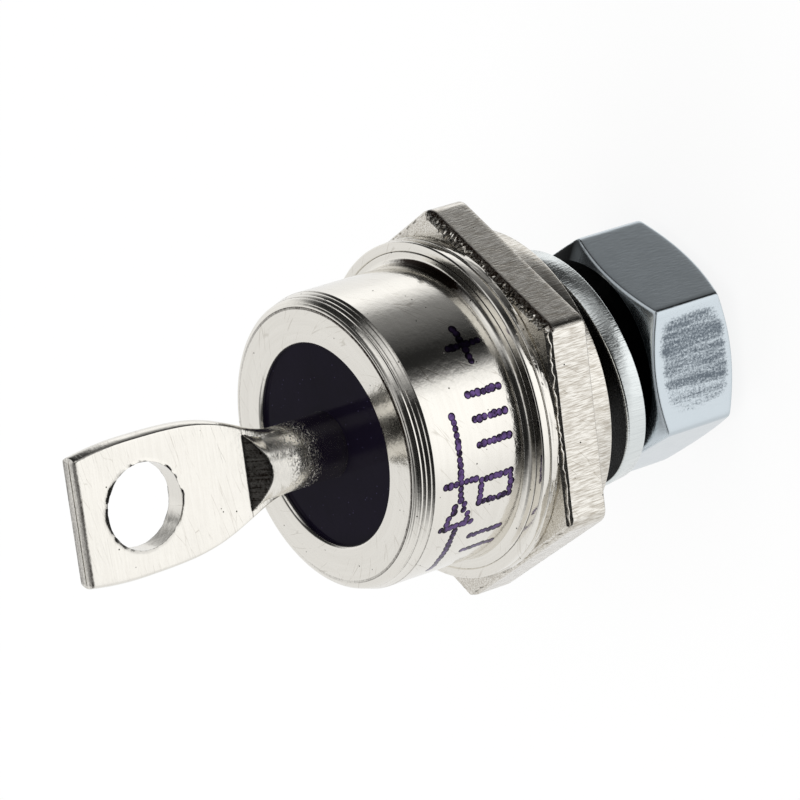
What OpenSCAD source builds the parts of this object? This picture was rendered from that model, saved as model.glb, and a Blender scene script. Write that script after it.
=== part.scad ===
// Stud-mounted rectifier diode with its lock washer and nut.
// Millimetres. Z is the axis of the stud, the terminal points up,
// and zero is the face that seats on the heat sink.

/* [Base] */
// Width of the base hexagon across its flats
base_flats = 17.1; // [16.4:0.1:18]
// Height of the hexagon
hex_height = 2.3; // [1.8:0.1:3.2]
// Radius on the upright corners of the hexagon
hex_corner = 0.8; // [0.4:0.1:1.2]
// Bevel along the upper edges of the hexagon
hex_bevel = 0.35; // [0.15:0.05:0.6]
// Diameter of the round boss under the hexagon
boss_d = 16.2; // [15:0.1:16.3]
// Height of the boss
boss_height = 1.33; // [0.7:0.01:2]
// Edge break of the boss
boss_edge = 0.12; // [0.05:0.01:0.3]
// Diameter of the raised seat for the die
pedestal_d = 10.6; // [9.6:0.1:12]
// Height of the raised seat
pedestal_height = 0.6; // [0.3:0.05:1]

/* [Stud] */
// Diameter over the thread crests
stud_d = 6.3; // [5.6:0.1:6.5]
// Length from the seating face to the tip
stud_length = 11.1; // [10.4:0.1:13]
// Chamfer of the tip
stud_chamfer = 0.9; // [0.4:0.1:1.3]

/* [Cap] */
// How far the weld ring stands back from the flats of the base
ring_inset = 0.05; // [0:0.05:0.4]
// Thickness of the weld ring
weld_ring_t = 0.5; // [0.3:0.05:0.8]
// How far the flange of the cap stands back from the edge of the weld ring
flange_inset = 0.05; // [0:0.05:0.3]
// Thickness of the flange
flange_t = 0.48; // [0.3:0.02:0.8]
// Edge break of the flange and the weld ring
flange_edge = 0.09; // [0.04:0.01:0.14]
// Diameter of the straight wall
cap_d = 14.74; // [14.2:0.02:15.4]
// Height from the underside of the flange to the end ring
cap_height = 7.11; // [6.6:0.01:8]
// Wall thickness
cap_wall = 1; // [0.7:0.05:1.2]
// Fillet between the flange and the wall
cap_fillet = 0.34; // [0.15:0.01:0.5]
// How far the rounded rim comes in
rim_run = 0.63; // [0.4:0.01:0.9]
// How far the rounded rim comes down
rim_drop = 0.97; // [0.6:0.01:1.2]
// Number of turned grooves on the rim
rim_grooves = 4; // [2:1:6]
// Depth of each groove
groove_depth = 0.06; // [0.02:0.01:0.1]

/* [Seal] */
// Diameter of the glass
seal_d = 10.05; // [9:0.05:10.8]
// Length of the glass along the axis
seal_length = 2.9; // [2:0.05:3.2]
// How far the glass lies below the end ring
seal_recess = 0.3; // [0.2:0.02:0.6]
// How far the glass climbs the walls it wets
seal_climb = 0.14; // [0.05:0.01:0.18]

/* [Terminal] */
// Outer diameter of the tube
tube_d = 3.26; // [2.8:0.02:3.8]
// Wall of the tube
tube_wall = 0.6; // [0.4:0.02:0.8]
// Length of tube below the glass
tube_tail = 0.6; // [0.3:0.05:1]
// Height of the end of the flag above the end ring
terminal_rise = 14.26; // [13:0.02:16]
// Largest width of the flag
flag_w = 6.88; // [6:0.02:8]
// Thickness of the flag
flag_t = 1.03; // [0.8:0.01:1.4]
// Length of the flag from its end to the press line
flag_length = 9.34; // [8.6:0.02:9.8]
// Slope of the pressed ramp, in degrees from the axis
ramp_angle = 51; // [35:1:60]
// How far below the press line the tube starts to widen
flare_lead = 2.17; // [1.6:0.01:2.4]
// Length over which the tube widens
flare_length = 3.23; // [2.6:0.01:3.8]
// How much each side narrows again towards the end
flag_taper = 0.28; // [0:0.02:0.5]
// Length of the narrowing part
taper_length = 3; // [2:0.1:4]
// Diameter of the hole for the cable lug
hole_d = 4.18; // [3.2:0.02:4.6]
// Distance from the centre of the hole to the end of the flag
hole_edge = 3.45; // [2.9:0.05:4.2]
// Turn of the flag from a corner of the hexagon, in degrees
flag_turn = 1.2; // [-10:0.1:10]

/* [Inside] */
// Thickness of each solder layer
solder_t = 0.08; // [0.04:0.01:0.15]
// Diameter of the lower plate
plate_d = 9.2; // [8.8:0.1:9.5]
// Thickness of the lower plate
plate_t = 0.6; // [0.4:0.05:0.9]
// Diameter of the silicon die
die_d = 8; // [7:0.1:8.2]
// Thickness of the silicon die
die_t = 0.3; // [0.2:0.02:0.4]
// Width of the coating round the edge of the die
coating_w = 0.4; // [0.2:0.02:0.5]
// Diameter of the upper contact
contact_d = 5.6; // [4.6:0.1:6.6]
// Thickness of the upper contact
contact_t = 0.9; // [0.7:0.05:1.1]
// Depth of the socket that takes the inner lead
socket_depth = 0.5; // [0.3:0.05:0.6]
// Length of the inner lead above the top of the glass
lead_grip = 2.2; // [1.4:0.1:2.6]
// Length of the pointed end of the bore of the tube
bore_point = 0.8; // [0.4:0.1:1]
// Radial clearance of the inner lead in its socket and in the tube
lead_clearance = 0.02; // [0.01:0.01:0.06]

/* [Nut] */
// Width of the nut across its flats
nut_flats = 10.9; // [10:0.1:11.6]
// Height of the nut
nut_height = 5.22; // [4.6:0.02:6]
// Diameter of the flat end faces of the nut
nut_face_d = 10.6; // [9.4:0.1:10.8]
// Angle of the end chamfers of the nut
nut_chamfer = 30; // [20:1:40]
// Distance from the seating face to the nut
nut_offset = 4.96; // [4.6:0.02:5.6]
// Radial clearance between the stud and the nut
thread_clearance = 0.05; // [0.03:0.01:0.12]
// Depth of the countersinks of the nut
nut_sink = 0.4; // [0.2:0.05:0.6]

/* [Lock washer] */
// Outer diameter of the lock washer
washer_od = 12.26; // [11.4:0.02:12.8]
// Thickness of the lock washer
washer_t = 1.15; // [0.9:0.01:1.4]
// Radial clearance of the tilted lock washer on the stud
washer_clearance = 0.08; // [0.05:0.01:0.2]
// Edge break of the lock washer
washer_edge = 0.12; // [0.05:0.01:0.2]
// Rise of the lock washer from one end to the other
washer_rise = 0.6; // [0.3:0.02:0.8]
// Opening between the ends of the lock washer
split_gap = 0.6; // [0.3:0.05:1]
// Place of the split round the axis, in degrees
split_turn = 52; // [40:1:140]
// Tilt of the lock washer, in degrees
washer_tilt = 10.6; // [8:0.2:11]
// Direction in which the lock washer is raised, in degrees
washer_lean = -27; // [-40:1:-15]
// Gap at the point where the lock washer meets the nut
washer_touch = 0.02; // [0.01:0.01:0.1]

/* [Hidden] */

round_fn = 96;
arc_steps = 8;
// points round and sections along the widening tube
loft_points = 64;
loft_steps = 26;
// sections round the lock washer
coil_steps = 90;
// shape of the widening, and the small step where it leaves the round tube
flare_power = 1.85;
loft_step_in = 0.015;
// overshoot of cutting bodies
over = 1;

base_apothem = base_flats / 2;
base_corner_r = base_apothem / cos(30);
hex_bottom = boss_height;
hex_top = boss_height + hex_height;
pedestal_top = hex_top + pedestal_height;

weld_ring_d = base_flats - 2 * ring_inset;
flange_d = weld_ring_d - 2 * flange_inset;
weld_top = hex_top + weld_ring_t;
flange_top = weld_top + flange_t;
cap_r = cap_d / 2;
cap_bore_r = cap_r - cap_wall;
cap_end = weld_top + cap_height;
seal_r = seal_d / 2;
seal_top = cap_end - seal_recess;
seal_bottom = seal_top - seal_length;

tube_r = tube_d / 2;
bore_r = tube_r - tube_wall;
tube_bottom = seal_bottom - tube_tail;
flag_end = cap_end + terminal_rise;
press_z = flag_end - flag_length;
flare_z = press_z - flare_lead;
taper_z = flag_end - taper_length;
loft_z = seal_top + (flare_z - seal_top) / 2;
hole_z = flag_end - hole_edge;

base_solder_top = pedestal_top + solder_t;
plate_top = base_solder_top + plate_t;
die_solder_top = plate_top + solder_t;
die_top = die_solder_top + die_t;
contact_solder_top = die_top + solder_t;
contact_top = contact_solder_top + contact_t;
lead_bottom = contact_top - socket_depth;
lead_top = seal_top + lead_grip;
lead_r = bore_r - lead_clearance;

nut_face_r = nut_face_d / 2;
nut_corner_r = nut_flats / 2 / cos(30);
nut_bore_r = stud_d / 2 + thread_clearance;

washer_r = washer_od / 2;
washer_bore_r = (stud_d / 2 + washer_clearance + washer_t / 2 * sin(washer_tilt)) / cos(washer_tilt);
washer_mean_r = (washer_r + washer_bore_r) / 2;
split_half = asin(split_gap / 2 / washer_mean_r);
// the lock washer touches the nut opposite the side that is raised
touch_share = ((washer_lean + 180 - split_turn) % 360) / 360;
touch_r = min((nut_face_r + washer_t / 2 * sin(washer_tilt)) / cos(washer_tilt), washer_r);
touch_drop = touch_r * sin(washer_tilt) + (washer_t / 2 - coil_z(touch_share)) * cos(washer_tilt);
// the slope of the coil carries the lowest point a little past that side
coil_slope = washer_rise * cos(washer_tilt) / (2 * PI);
touch_extra = pow(coil_slope, 2) / (2 * touch_r * sin(washer_tilt));
washer_z = touch_drop + touch_extra + washer_touch - nut_offset;

// height of the coil above its middle, from its upper end to its lower end
function coil_z(share) = washer_rise * (0.5 - share);

// half the width of the tube and flag at a height
function widening(x) = x <= 0 ? 0 : 1 - exp(-pow(x / flare_length, flare_power));
function narrowing(x) = x <= 0 ? 0 : flag_taper * pow(x / taper_length, 2);
function half_width(z) =
    tube_r + (flag_w / 2 - tube_r) * widening(z - flare_z) - narrowing(z - taper_z);

// points of an arc about a centre in a profile
function arc(cx, cz, r, from, to) =
    [for (i = [0:arc_steps]) let (a = from + (to - from) * i / arc_steps) [cx + r * cos(a), cz + r * sin(a)]];

// skin over closed rings of equal length, counter-clockwise seen from the far end
module skin(rings) {
    n = len(rings[0]);
    m = len(rings);
    points = [for (ring = rings) for (p = ring) p];
    near = [for (j = [0:n - 1]) j];
    far = [for (j = [n - 1:-1:0]) (m - 1) * n + j];
    left = [for (i = [0:m - 2]) for (j = [0:n - 1])
        [i * n + j, (i + 1) * n + j, (i + 1) * n + (j + 1) % n]];
    right = [for (i = [0:m - 2]) for (j = [0:n - 1])
        [i * n + j, (i + 1) * n + (j + 1) % n, i * n + (j + 1) % n]];
    polyhedron(points = points, faces = concat([near, far], left, right), convexity = 6);
}

// hexagon with its upright corners rounded
module rounded_hexagon() {
    round_at = base_corner_r - hex_corner / cos(30);
    polygon([for (k = [0:5]) for (s = [-1, 1])
        let (a = 60 * k + 30 * s) [
            round_at * cos(60 * k) + hex_corner * cos(a),
            round_at * sin(60 * k) + hex_corner * sin(a)
        ]]);
    for (k = [0:5])
        rotate(60 * k)
            translate([round_at, 0])
                circle(r = hex_corner, $fn = round_fn);
}

// base with boss and stud, turned and milled from one bar
module stud_base() {
    color([0.79, 0.77, 0.73]) {
        difference() {
            translate([0, 0, hex_bottom])
                linear_extrude(height = hex_height)
                    rounded_hexagon();
            for (k = [0:5])
                rotate(30 + 60 * k)
                    translate([base_apothem, 0, hex_top])
                        rotate([0, 45, 0])
                            cube([hex_bevel * sqrt(2), base_flats, hex_bevel * sqrt(2)], center = true);
        }
        rotate_extrude($fn = round_fn)
            polygon([
                [0, hex_bottom + hex_height / 2],
                [boss_d / 2, hex_bottom + hex_height / 2],
                [boss_d / 2, boss_edge],
                [boss_d / 2 - boss_edge, 0],
                [stud_d / 2, 0],
                [stud_d / 2, stud_chamfer - stud_length],
                [stud_d / 2 - stud_chamfer, -stud_length],
                [0, -stud_length]
            ]);
        translate([0, 0, hex_top - hex_height / 2])
            cylinder(d = pedestal_d, h = pedestal_height + hex_height / 2, $fn = round_fn);
    }
}

// steel ring brazed to the base
module weld_ring() {
    color([0.74, 0.73, 0.7])
        rotate_extrude($fn = round_fn)
            polygon([
                [cap_bore_r, hex_top],
                [weld_ring_d / 2 - flange_edge, hex_top],
                [weld_ring_d / 2, hex_top + flange_edge],
                [weld_ring_d / 2, weld_top - flange_edge],
                [weld_ring_d / 2 - flange_edge, weld_top],
                [cap_bore_r, weld_top]
            ]);
}

// cap with flange, straight wall, grooved rim and thick end that holds the seal
module cap() {
    rim_r = cap_r - rim_run;
    rim_z = cap_end - rim_drop;
    // each groove takes two thirds of its share of the rounded rim
    groove_half = 30 / rim_grooves;
    rim = [for (i = [0:rim_grooves - 1]) for (k = [-1, 0, 1])
        let (a = 90 * (i + 0.5) / rim_grooves + k * groove_half, d = k == 0 ? groove_depth : 0)
            [rim_r + (rim_run - d) * cos(a), rim_z + (rim_drop - d) * sin(a)]];
    color([0.82, 0.8, 0.76])
        rotate_extrude($fn = round_fn)
            polygon(concat(
                [
                    [cap_bore_r, weld_top],
                    [flange_d / 2 - flange_edge, weld_top],
                    [flange_d / 2, weld_top + flange_edge],
                    [flange_d / 2, flange_top - flange_edge],
                    [flange_d / 2 - flange_edge, flange_top]
                ],
                arc(cap_r + cap_fillet, flange_top + cap_fillet, cap_fillet, 270, 180),
                [[cap_r, rim_z]],
                rim,
                [
                    [rim_r, cap_end],
                    [seal_r, cap_end],
                    [seal_r, seal_bottom],
                    [cap_bore_r, seal_bottom]
                ]
            ));
}

// glass ring fused between the cap and the tube
module glass_seal() {
    color([0.07, 0.06, 0.12])
        rotate_extrude($fn = round_fn)
            polygon(concat(
                [[tube_r, seal_bottom], [seal_r, seal_bottom]],
                arc(seal_r - seal_climb, seal_top + seal_climb, seal_climb, 0, -90),
                arc(tube_r + seal_climb, seal_top + seal_climb, seal_climb, 270, 180)
            ));
}

// tube that widens upwards, before pressing
module flared_tube() {
    translate([0, 0, tube_bottom])
        cylinder(r = tube_r, h = loft_z + loft_step_in - tube_bottom, $fn = round_fn);
    skin([for (i = [0:loft_steps])
        let (z = loft_z + (flag_end - loft_z) * i / loft_steps, a = half_width(z) - loft_step_in)
            [for (j = [0:loft_points - 1])
                let (t = 360 * j / loft_points)
                    [a * cos(t), (tube_r - loft_step_in) * sin(t), z]]]);
}

// room between the two press faces
module press_gap() {
    wide = tube_d;
    ramp_low = press_z - (wide - flag_t / 2) / tan(ramp_angle);
    rotate([90, 0, 90])
        linear_extrude(height = flag_w + 2 * over, center = true)
            polygon([
                [-flag_t / 2, flag_end + over],
                [-flag_t / 2, press_z],
                [-wide, ramp_low],
                [-wide, tube_bottom - over],
                [wide, tube_bottom - over],
                [wide, ramp_low],
                [flag_t / 2, press_z],
                [flag_t / 2, flag_end + over]
            ]);
}

// copper tube pressed into a flag, with the hole for the cable lug
module terminal() {
    color([0.84, 0.82, 0.78])
        rotate(flag_turn)
            difference() {
                intersection() {
                    flared_tube();
                    press_gap();
                }
                translate([0, 0, hole_z])
                    rotate([90, 0, 0])
                        cylinder(d = hole_d, h = flag_t + 2 * over, center = true, $fn = round_fn);
                translate([0, 0, tube_bottom - over])
                    cylinder(r = bore_r, h = lead_top + over - tube_bottom, $fn = round_fn);
                translate([0, 0, lead_top])
                    cylinder(r1 = bore_r, r2 = bore_r / 8, h = bore_point, $fn = round_fn);
            }
}

// flat disc of the die stack
module disc(d, bottom, top) {
    translate([0, 0, bottom])
        cylinder(d = d, h = top - bottom, $fn = round_fn);
}

module base_solder() {
    color([0.62, 0.63, 0.65])
        disc(plate_d, pedestal_top, base_solder_top);
}

module lower_plate() {
    color([0.5, 0.51, 0.53])
        disc(plate_d, base_solder_top, plate_top);
}

module die_solder() {
    color([0.62, 0.63, 0.65])
        disc(die_d, plate_top, die_solder_top);
}

module silicon_die() {
    color([0.32, 0.34, 0.4])
        disc(die_d, die_solder_top, die_top);
}

module contact_solder() {
    color([0.62, 0.63, 0.65])
        disc(contact_d, die_top, contact_solder_top);
}

// contact disc with a socket for the inner lead
module upper_contact() {
    color([0.78, 0.5, 0.34])
        difference() {
            disc(contact_d, contact_solder_top, contact_top);
            translate([0, 0, lead_bottom])
                cylinder(r = bore_r, h = socket_depth + over, $fn = round_fn);
        }
}

// bead that covers the edge of the junction
module junction_coating() {
    color([0.86, 0.87, 0.88])
        rotate_extrude($fn = round_fn)
            polygon([
                [die_d / 2, plate_top],
                [die_d / 2 + coating_w, plate_top],
                [die_d / 2 + coating_w, die_solder_top],
                [die_d / 2 + coating_w / 2, die_top],
                [die_d / 2, die_top]
            ]);
}

module inner_lead() {
    color([0.76, 0.47, 0.3])
        disc(2 * lead_r, lead_bottom, lead_top);
}

// one turn of flat spring wire, cut and set
module lock_washer() {
    e = washer_edge;
    zb = -washer_t / 2;
    zt = washer_t / 2;
    section = [
        [washer_bore_r, zb + e],
        [washer_bore_r, zt - e],
        [washer_bore_r + e, zt],
        [washer_r - e, zt],
        [washer_r, zt - e],
        [washer_r, zb + e],
        [washer_r - e, zb],
        [washer_bore_r + e, zb]
    ];
    color([0.72, 0.75, 0.78])
        translate([0, 0, washer_z])
            rotate(washer_lean)
                rotate([0, -washer_tilt, 0])
                    rotate(split_turn - washer_lean)
                        skin([for (i = [0:coil_steps])
                            let (share = i / coil_steps, a = split_half + (360 - 2 * split_half) * share)
                                [for (p = section) [p[0] * cos(a), p[0] * sin(a), p[1] + coil_z(share)]]]);
}

// nut with both ends chamfered
module hex_nut() {
    chamfer_run = nut_corner_r + over - nut_face_r;
    chamfer_rise = chamfer_run * tan(nut_chamfer);
    sink_r = nut_bore_r + nut_sink;
    color([0.7, 0.74, 0.78])
        translate([0, 0, -nut_offset - nut_height])
            difference() {
                intersection() {
                    cylinder(r = nut_corner_r, h = nut_height, $fn = 6);
                    rotate_extrude($fn = round_fn)
                        polygon([
                            [0, 0],
                            [nut_face_r, 0],
                            [nut_face_r + chamfer_run, chamfer_rise],
                            [nut_face_r + chamfer_run, nut_height - chamfer_rise],
                            [nut_face_r, nut_height],
                            [0, nut_height]
                        ]);
                }
                rotate_extrude($fn = round_fn)
                    polygon([
                        [0, -over],
                        [sink_r, -over],
                        [sink_r, 0],
                        [nut_bore_r, nut_sink],
                        [nut_bore_r, nut_height - nut_sink],
                        [sink_r, nut_height],
                        [sink_r, nut_height + over],
                        [0, nut_height + over]
                    ]);
            }
}

stud_base();
weld_ring();
cap();
glass_seal();
terminal();
base_solder();
lower_plate();
die_solder();
silicon_die();
contact_solder();
upper_contact();
junction_coating();
inner_lead();
lock_washer();
hex_nut();
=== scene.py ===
"""Looks of a stud-mounted rectifier diode with its lock washer and nut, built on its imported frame."""

import math
from functools import partial

import bmesh
import bpy
import numpy as np
from mathutils import Matrix, Vector


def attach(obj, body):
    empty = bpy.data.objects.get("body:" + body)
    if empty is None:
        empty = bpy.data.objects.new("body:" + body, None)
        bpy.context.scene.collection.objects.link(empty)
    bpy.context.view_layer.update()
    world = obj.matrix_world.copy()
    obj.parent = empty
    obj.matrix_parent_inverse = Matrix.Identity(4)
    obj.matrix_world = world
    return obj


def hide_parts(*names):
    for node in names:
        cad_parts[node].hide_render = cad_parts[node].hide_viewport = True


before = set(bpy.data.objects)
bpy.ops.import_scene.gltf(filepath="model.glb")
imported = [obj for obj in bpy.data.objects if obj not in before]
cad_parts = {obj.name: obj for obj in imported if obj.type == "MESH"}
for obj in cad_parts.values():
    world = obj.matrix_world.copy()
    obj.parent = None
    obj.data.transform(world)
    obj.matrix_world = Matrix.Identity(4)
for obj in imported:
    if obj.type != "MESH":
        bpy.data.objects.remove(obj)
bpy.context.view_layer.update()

bl_info = {
    "name": "Stud Diode",
    "version": (1, 0, 0),
    "blender": (4, 5, 0),
    "location": "View3D > Sidebar > Stud Diode",
    "description": "Builds the looks of a stud diode with its lock washer and nut",
    "category": "Object",
}

MM = 0.001
TURN = 2 * math.pi
CREASE = math.radians(32)

# Sizes of the frame, and of detail that it leaves plain, in millimetres
HEX_APOTHEM, HEX_CORNER, HEX_BEVEL = 8.55, 0.8, 0.35
HEX_LOW, HEX_TOP = 1.33, 3.63
TORN_FLAT = -30  # the way the flat with a torn edge faces, in degrees
BOSS_R, BOSS_EDGE = 8.1, 0.12
PEDESTAL_R, PEDESTAL_TOP = 5.3, 4.23
STUD_R, STUD_TIP, STUD_CHAMFER = 3.15, -11.1, 0.9
RING_R, RING_TOP, RING_EDGE, WELD_R = 8.5, 4.13, 0.09, 7.2
FLANGE_R, FLANGE_TOP, FURROW_R, FURROW_HALF, FURROW_DEPTH = 8.45, 4.61, 7.95, 0.05, 0.035
CAP_R, CAP_BORE_R, CAP_END, CAP_FILLET, WALL_LOW = 7.37, 6.37, 11.24, 0.34, 5.4
RIM_RUN, RIM_DROP = 0.63, 0.97
GROOVE_DEPTHS = (0.011, 0.013, 0.028, 0.008, 0.013, 0.011)
RIM_TAPER = 0.3
SEAL_R, SEAL_LOW, SEAL_TOP, SEAL_CLIMB = 5.025, 8.04, 10.94, 0.05
TUBE_R, TUBE_BORE_R, TUBE_LOW, BORE_TOP, BORE_POINT = 1.63, 1.03, 7.44, 13.14, 0.8
TUBE_END, KNOCKS_Z, THINNING_Z, BULGE_Z, RAMP_LOW = 13.4, 13.45, 13.8, 15.2, 14.6
FLAG_W, FLAG_T, FLAG_END, FLAG_TURN = 6.88, 1.03, 25.5, math.radians(1.2)
FLARE_Z, FLARE_LENGTH, FLARE_POWER = 13.99, 3.23, 1.85
PRESS_Z, RAMP_SLOPE = 16.16, math.tan(math.radians(51))
TAPER_Z, TAPER_LENGTH, TAPER = 22.5, 3.0, 0.28
HOLE_R, HOLE_Z, HOLE_SIDES, BURR_REACH = 2.09, 22.05, 96, 0.12
NUT_APOTHEM, NUT_CORNER, NUT_TOP, NUT_LOW, NUT_FACE_R, NUT_LAND_R = 5.45, 0.35, -4.96, -10.18, 5.3, 4.6
NUT_BORE_R, NUT_SINK, NUT_SLOPE = 3.2, 0.4, math.tan(math.radians(30))
WASHER_R, WASHER_BORE_R, WASHER_T, WASHER_EDGE = 6.13, 3.394, 1.15, 0.12
WASHER_RISE, WASHER_Z, WASHER_GAP = 0.6, -3.488, 0.6
WASHER_TILT, WASHER_LEAN, WASHER_SPLIT = math.radians(10.6), math.radians(-27), math.radians(52)


def linear(code):
    """A colour written as sRGB hex, as the linear values that shaders take."""
    parts = [int(code[i : i + 2], 16) / 255 for i in (1, 3, 5)]
    return tuple(p / 12.92 if p <= 0.04045 else ((p + 0.055) / 1.055) ** 2.4 for p in parts)


class DiodeSizes(bpy.types.PropertyGroup):
    """Sizes of the detail that the frame leaves plain"""

    thread_pitch: bpy.props.FloatProperty(
        name="Thread pitch", description="From crest to crest on the stud",
        default=0.907 * MM, unit="LENGTH", precision=6,
    )
    thread_depth: bpy.props.FloatProperty(
        name="Thread depth", description="From crest to root on the stud",
        default=0.55 * MM, unit="LENGTH", precision=6,
    )
    burr: bpy.props.FloatProperty(
        name="Burr", description="Height of the burr along the hexagon and round the hole",
        default=0.1 * MM, unit="LENGTH", precision=6,
    )
    dot: bpy.props.FloatProperty(
        name="Ink dot", description="Diameter of one dot of ink",
        default=0.42 * MM, unit="LENGTH", precision=6,
    )
    dot_pitch: bpy.props.FloatProperty(
        name="Ink pitch", description="From one dot of ink to the next",
        default=0.3 * MM, unit="LENGTH", precision=6,
    )


class DiodeColours(bpy.types.PropertyGroup):
    """Colours of the plating, glass and ink"""

    nickel: bpy.props.FloatVectorProperty(
        name="Nickel", description="Bright nickel plate", subtype="COLOR", default=linear("#EBE8E1")
    )
    nickel_dull: bpy.props.FloatVectorProperty(
        name="Dull nickel", description="Nickel plate where it is scratched or thin",
        subtype="COLOR", default=linear("#A79F92"),
    )
    zinc: bpy.props.FloatVectorProperty(
        name="Zinc", description="Clear blue zinc plate", subtype="COLOR", default=linear("#C5CED4")
    )
    zinc_wire: bpy.props.FloatVectorProperty(
        name="Zinc on wire", description="Clear zinc plate on the spring wire",
        subtype="COLOR", default=linear("#DFE4E4"),
    )
    zinc_worn: bpy.props.FloatVectorProperty(
        name="Worn zinc", description="Zinc plate rubbed by a spanner",
        subtype="COLOR", default=linear("#656E77"),
    )
    glass: bpy.props.FloatVectorProperty(
        name="Glass", description="Dark sealing glass", subtype="COLOR", default=linear("#130F1C")
    )
    # colour of oil and dust, which also stands for painted shade in gaps, creases and on shaded sides
    grime_and_shade: bpy.props.FloatVectorProperty(
        name="Grime", description="Oil and dust in the gaps and along the edges",
        subtype="COLOR", default=linear("#2A1F18"),
    )
    ink: bpy.props.FloatVectorProperty(
        name="Ink", description="Violet marking ink", subtype="COLOR", default=linear("#644E80")
    )


class DiodeStage(bpy.types.PropertyGroup):
    """Light and floor of the studio"""

    floor: bpy.props.FloatVectorProperty(
        name="Floor", description="Colour of the pale floor", subtype="COLOR", default=linear("#F0F0F0")
    )
    lamp: bpy.props.FloatProperty(
        name="Lamp", description="Power of each soft lamp", default=0.5, unit="POWER"
    )
    fill: bpy.props.FloatProperty(name="Fill", description="Level of the light from all round", default=0.85)


def circle(radius, z, count):
    """Points of a level circle, in millimetres."""
    a = np.arange(count) * TURN / count
    return np.stack([radius * np.cos(a), radius * np.sin(a), np.full(count, float(z))], 1)


def contour(reach, angles, z):
    """Points at a reach from the axis, which may change with the angle, as may the height."""
    return np.stack([reach * np.cos(angles), reach * np.sin(angles), np.broadcast_to(z, angles.shape)], 1)


def point(z):
    """One point on the axis."""
    return np.array([[0.0, 0.0, z]])


def from_flat(angles):
    """Angle from the middle of the nearest flat of a hexagon with corners at 0, 60, 120 and so on."""
    return math.pi / 6 - np.abs((angles + math.pi / 6) % (math.pi / 3) - math.pi / 6)


def hexagon_reach(angles, apothem, corner):
    """Distance from the axis to a hexagon with rounded corners."""
    off = from_flat(angles)
    t = math.pi / 6 - off
    middle = (apothem - corner) / math.cos(math.pi / 6)
    limit = math.atan2(corner * 0.5, middle + corner * math.cos(math.pi / 6))
    arc = middle * np.cos(t) + np.sqrt(np.maximum(corner**2 - (middle * np.sin(t)) ** 2, 0))
    return np.where(t < limit, arc, apothem / np.cos(off))


def jagged(count, seed, softness):
    """Random values from 0 to 1 round a closed line, smoothed by that many passes."""
    values = np.random.default_rng(seed).random(count)
    for _ in range(softness):
        values = (np.roll(values, 1) + 2 * values + np.roll(values, -1)) / 4
    low, high = values.min(), values.max()
    return (values - low) / (high - low)


def soft_min(a, b, blend):
    """The lesser of two lengths, rounded where they cross."""
    return (a + b - np.sqrt((a - b) ** 2 + blend**2)) / 2


def stitch(first, second, start_a, start_b):
    """Triangles between two level rings with different numbers of points, walked by angle."""
    turn_a = np.unwrap(np.arctan2(first[:, 1], first[:, 0]))
    turn_b = np.unwrap(np.arctan2(second[:, 1], second[:, 0]))
    faces, i, j, na, nb = [], 0, 0, len(first), len(second)
    while i < na or j < nb:
        next_a = turn_a[i + 1] if i + 1 < na else turn_a[0] + TURN if i < na else 1e9
        next_b = turn_b[j + 1] if j + 1 < nb else turn_b[0] + TURN if j < nb else 1e9
        if next_a <= next_b:
            faces.append((start_a + i, start_a + (i + 1) % na, start_b + j % nb))
            i += 1
        else:
            faces.append((start_a + i % na, start_b + (j + 1) % nb, start_b + j))
            j += 1
    return faces


def skin(rings, loop=False, capped=False):
    """Points and faces of a skin over rings. A ring of one point closes to a tip."""
    starts = np.cumsum([0] + [len(r) for r in rings])
    pairs = [(i, i + 1) for i in range(len(rings) - 1)] + ([(len(rings) - 1, 0)] if loop else [])
    faces = []
    for i, j in pairs:
        a = starts[i] + np.arange(len(rings[i]))
        b = starts[j] + np.arange(len(rings[j]))
        if len(a) == len(b):
            faces += np.stack([a, np.roll(a, -1), np.roll(b, -1), b], 1).tolist()
        elif len(b) == 1:
            faces += np.stack([a, np.roll(a, -1), np.full(len(a), b[0])], 1).tolist()
        elif len(a) == 1:
            faces += np.stack([np.full(len(b), a[0]), np.roll(b, -1), b], 1).tolist()
        else:
            faces += stitch(rings[i], rings[j], starts[i], starts[j])
    if capped:
        faces += [list(range(starts[0], starts[1]))[::-1], list(range(starts[-2], starts[-1]))]
    return np.vstack(rings), faces


def shade(mesh):
    """Outward normals, smooth faces, and hard edges where faces meet at more than the crease angle."""
    bm = bmesh.new()
    bm.from_mesh(mesh)
    bmesh.ops.remove_doubles(bm, verts=bm.verts, dist=1e-7)
    bmesh.ops.dissolve_degenerate(bm, edges=bm.edges, dist=1e-8)
    bmesh.ops.recalc_face_normals(bm, faces=bm.faces)
    for face in bm.faces:
        face.smooth = True
    for edge in bm.edges:
        edge.smooth = len(edge.link_faces) == 2 and edge.calc_face_angle() < CREASE
    bm.to_mesh(mesh)
    bm.free()


def add_object(name, data):
    """Puts an object in the scene."""
    obj = bpy.data.objects.new(name, data)
    bpy.context.scene.collection.objects.link(obj)
    return obj


def piece(name, points, faces, material):
    """A mesh object from points in millimetres."""
    mesh = bpy.data.meshes.new(name)
    mesh.from_pydata((points * MM).tolist(), [], faces)
    shade(mesh)
    mesh.materials.append(material)
    return add_object(name, mesh)


def paint(obj, name, rule):
    """Writes a value for each point of a piece, from its place in millimetres."""
    mesh = obj.data
    flat = np.empty(len(mesh.vertices) * 3, np.float32)
    mesh.vertices.foreach_get("co", flat)
    values = rule(*(flat.reshape(-1, 3).T / MM))
    layer = mesh.attributes.new(name, "FLOAT", "POINT")
    layer.data.foreach_set("value", np.clip(values, 0, 1).astype(np.float32))


def fit(obj, slot, *nodes):
    """Puts a piece in the place of its frame nodes."""
    if nodes:
        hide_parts(*nodes)
    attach(obj, "root")


def turned(profile, count):
    """Rings of a turned shape from its outline of (radius, height)."""
    return [circle(r, z, count) for r, z in profile]


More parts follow.
